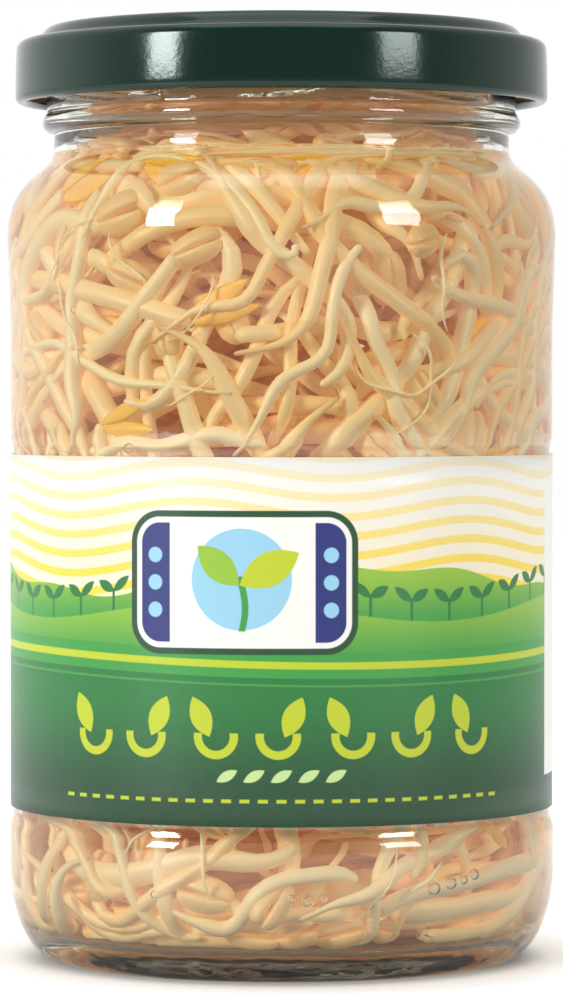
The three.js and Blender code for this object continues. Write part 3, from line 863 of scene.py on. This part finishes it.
def looseSprouts(still):
    # the sprouts between and behind the outer ones, in the neck and on the floor
    draw = makeDraw(sprouts["looseSeed"])
    lines = []
    for heap in sprouts["loose"]:
        for radius, count in heap["layers"]:
            for index in range(count):
                lines.append(sproutLine(draw, heap["from"], heap["to"], index, radius, 1))
    for line in lines:
        # a smaller share of heads, and no leaves on the floor
        kind = line["kind"] * 1.2
        bedded = line["points"][:, 2].min() < 15
        line["kind"] = kind if kind < sprouts["seedShare"] else min(1, 1.15 * kind - 0.063 + bedded)
    lowest = min(heap["from"] for heap in sprouts["loose"])
    highest = max(heap["to"] for heap in sprouts["loose"])
    settle(lines, still, lowest, highest, sprouts["loosePasses"], 0, 3)
    return lines


def makeBunch(name, material, balls, lines, rings, sides, *nodes):
    bm = bmesh.new()
    layers = floatLayers(bm)
    for line in lines:
        addSprout(bm, layers, balls, line, rings, sides)
    closeUp(bm)
    finished(bm, name, material, "sprouts", *nodes)


def makeSprouts():
    material = sproutMaterial()
    balls = {1: plainBall(14, 10), 2: plainBall(8, 14)}
    outer = [outerSprouts(bunch) for bunch in sprouts["bunches"]]
    loose = looseSprouts([line for lines in outer for line in lines])
    for bunch, lines in zip(sprouts["bunches"], outer):
        makeBunch(bunch["name"] + "Fine", material, balls, lines, 34, 12, bunch["name"])
    for piece in sprouts["pieces"]:
        lines = loose[piece["from"]:piece["to"]]
        makeBunch(piece["name"], material, balls, lines, piece["rings"], piece["sides"])
    makeThreads(material)


threads = {"seed": 71, "zones": ((9.0, 24.0, 14), (62.0, 101.0, 34))}


def makeThreads(material):
    # fine roots that have come loose and curl between the sprouts and the glass
    draw = makeDraw(threads["seed"])
    bm = bmesh.new()
    layers = floatLayers(bm)
    for low, high, count in threads["zones"]:
        for index in range(count):
            angle = index * goldenAngle + draw()
            z = low + (high - low) * draw()
            heading = 2 * math.pi * draw()
            curl = 0.3 * (draw() - 0.5)
            sway = 0.25 * draw()
            points = []
            for step in range(int(9 + 12 * draw())):
                radius = wallRadius(z) - 1.1 - 0.5 * math.sin(step * 0.7 + index)
                points.append((radius * math.cos(angle), radius * math.sin(angle), z))
                heading += curl + sway * math.sin(step * 0.9 + index)
                angle += math.cos(heading) / radius
                z = min(max(z + math.sin(heading), low - 1), high)
            at = np.linspace(0, len(points) - 1, 30)
            thin = np.clip(1 - (2 * np.linspace(0, 1, 30) - 1) ** 4, 0, 1) * np.linspace(1, 0.5, 30)
            radii = np.maximum((0.2 + 0.2 * draw()) * thin, 0.002)
            addTube(bm, layers, finer(np.array(points), at), radii, 6, 0.7 + 0.3 * draw(), 0.5)
    closeUp(bm)
    finished(bm, "sproutThreads", material, "sprouts")


# Air bubbles on the inside of the glass, each at an angle and a height
bubbles = {
    "seed": 5, "glass": 32.6,
    "places": [(0.04, 10.8), (0.1, 10.6), (0.16, 10.9), (0.62, 11.5), (0.7, 12.0), (0.76, 12.3),
               (0.82, 12.8), (-0.5, 11.0), (-0.9, 84.0), (-0.62, 66.8), (0.35, 9.9), (2.2, 12.0),
               (3.6, 11.0)],
}


def makeBubbles():
    material, wire, place, shader = newMaterial("airBubble", {
        "Transmission Weight": 1.0, "IOR": 0.75, "Roughness": 0.0})
    shade = noise(wire, place, 200, 1)
    feed(wire, shader, Base_Color=mixed(wire, shade, (0.97, 0.97, 0.96, 1), (1, 1, 1, 1)))
    clearToLamps(wire, shader)
    draw = makeDraw(bubbles["seed"])
    ball = plainBall(20, 14)
    bm = bmesh.new()
    for angle, height in bubbles["places"]:
        first = len(bm.verts)
        bm.from_mesh(ball)
        bm.verts.ensure_lookup_table()
        radius = 0.45 + 0.5 * draw()
        reach = bubbles["glass"] - radius - (1.0 if height < 11 else 0.3)
        centre = Vector((reach * math.sin(angle), -reach * math.cos(angle), height))
        for vert in bm.verts[first:]:
            vert.co = (centre + vert.co * radius) * mm
    finished(bm, "airBubbles", material, "brine")


# Camera, lamps and floor
stage = {"distance": 0.610, "eyeHeight": 0.0739, "aimHeight": 0.0595, "lens": 168.0}


def makeCamera():
    data = bpy.data.cameras.new("camera")
    data.lens = stage["lens"]
    data.sensor_width = 36.0
    data.clip_start = 0.01
    camera = bpy.data.objects.new("camera", data)
    camera.location = (0, -stage["distance"], stage["eyeHeight"])
    down = math.atan2(stage["eyeHeight"] - stage["aimHeight"], stage["distance"])
    camera.rotation_euler = (math.pi / 2 - down, 0, 0)
    bpy.context.scene.collection.objects.link(camera)
    bpy.context.scene.camera = camera


def makeLamp(name, azimuth, elevation, distance, width, height, power):
    data = bpy.data.lights.new(name, "AREA")
    data.shape = "RECTANGLE"
    data.size = width
    data.size_y = height
    data.energy = power
    lamp = bpy.data.objects.new(name, data)
    a, e = math.radians(azimuth), math.radians(elevation)
    away = Vector((math.sin(a) * math.cos(e), -math.cos(a) * math.cos(e), math.sin(e)))
    lamp.location = Vector((0, 0, 0.06)) + away * distance
    lamp.rotation_mode = "QUATERNION"
    lamp.rotation_quaternion = away.to_track_quat("Z", "Y")
    bpy.context.scene.collection.objects.link(lamp)


def makeWorld():
    world = bpy.data.worlds.new("studio")
    bpy.context.scene.world = world
    world.use_nodes = True
    wire = Wire(world.node_tree)
    background = world.node_tree.nodes["Background"]
    direction = wire.node("ShaderNodeTexCoord", out="Generated")
    parts = wire.node("ShaderNodeSeparateXYZ", None, {0: direction}).socket.node
    right, front = [Wire(wire.tree, parts.outputs[k]) for k in range(2)]
    surround = (smooth(wire, front, -0.7, 0.35) * 0.95 + 0.13) * (1 - 0.26 * right)
    seen = wire.node("ShaderNodeLightPath", out="Is Camera Ray")
    through = wire.node("ShaderNodeLightPath", out="Is Transmission Ray")
    level = surround + (1 - surround) * wire.maths("MAXIMUM", seen, 0.6 * through)
    wire.tree.links.new(level.socket, background.inputs["Strength"])
    background.inputs["Color"].default_value = (1, 1, 1, 1)


def makeFloor():
    material, wire, place, shader = newMaterial("floorPaper", {
        "Roughness": 0.6, "Emission Strength": 0.32})
    cloud = noise(wire, place, 3, 2)
    tone = mixed(wire, cloud, (0.86, 0.86, 0.86, 1), (0.9, 0.9, 0.9, 1))
    parts = wire.node("ShaderNodeSeparateXYZ", None, {0: place}).socket.node
    away = span(Wire(wire.tree, parts.outputs[0]), Wire(wire.tree, parts.outputs[1]))
    # the floor glows evenly; under the jar the glow is painted shadow, nearly black, and around its foot
    # a warm ring, a painted caustic
    paintedFloorLight = mixed(wire, smooth(wire, away, 0.031, 0.036), (0.03, 0.025, 0.018, 1), (0.8, 0.62, 0.45, 1))
    paintedFloorLight = mixed(wire, smooth(wire, away, 0.035, 0.046), paintedFloorLight, tone)
    # painted shadow: the floor is darker and browner under the jar
    tone = mixed(wire, smooth(wire, away, 0.031, 0.024), tone, (0.36, 0.28, 0.155, 1))
    feed(wire, shader, Base_Color=tone, Emission_Color=paintedFloorLight)
    bm = bmesh.new()
    bmesh.ops.create_grid(bm, x_segments=2, y_segments=2, size=3)
    mesh = bpy.data.meshes.new("floor")
    bm.to_mesh(mesh)
    bm.free()
    floor = bpy.data.objects.new("floor", mesh)
    mesh.materials.append(material)
    bpy.context.scene.collection.objects.link(floor)


makeCamera()
makeWorld()
makeFloor()
makeLamp("leftBox", -51, 15.5, 1.2, 0.26, 0.36, 9)
makeLamp("rightBox", 51, 15.5, 1.2, 0.33, 0.32, 4.8)
makeLamp("topBox", 0, 78, 1.1, 1.0, 0.8, 4)
print("stage ready")
makeJar()
makeLid()
makeSeal()
makeLabel()
makeBrine()
makeBubbles()
makeSprouts()

scene = bpy.context.scene
scene.view_settings.view_transform = "Standard"
scene.cycles.caustics_refractive = False
scene.cycles.caustics_reflective = False
scene.cycles.transparent_max_bounces = 16
scene.cycles.max_bounces = 11
scene.cycles.transmission_bounces = 11
scene.cycles.diffuse_bounces = 3
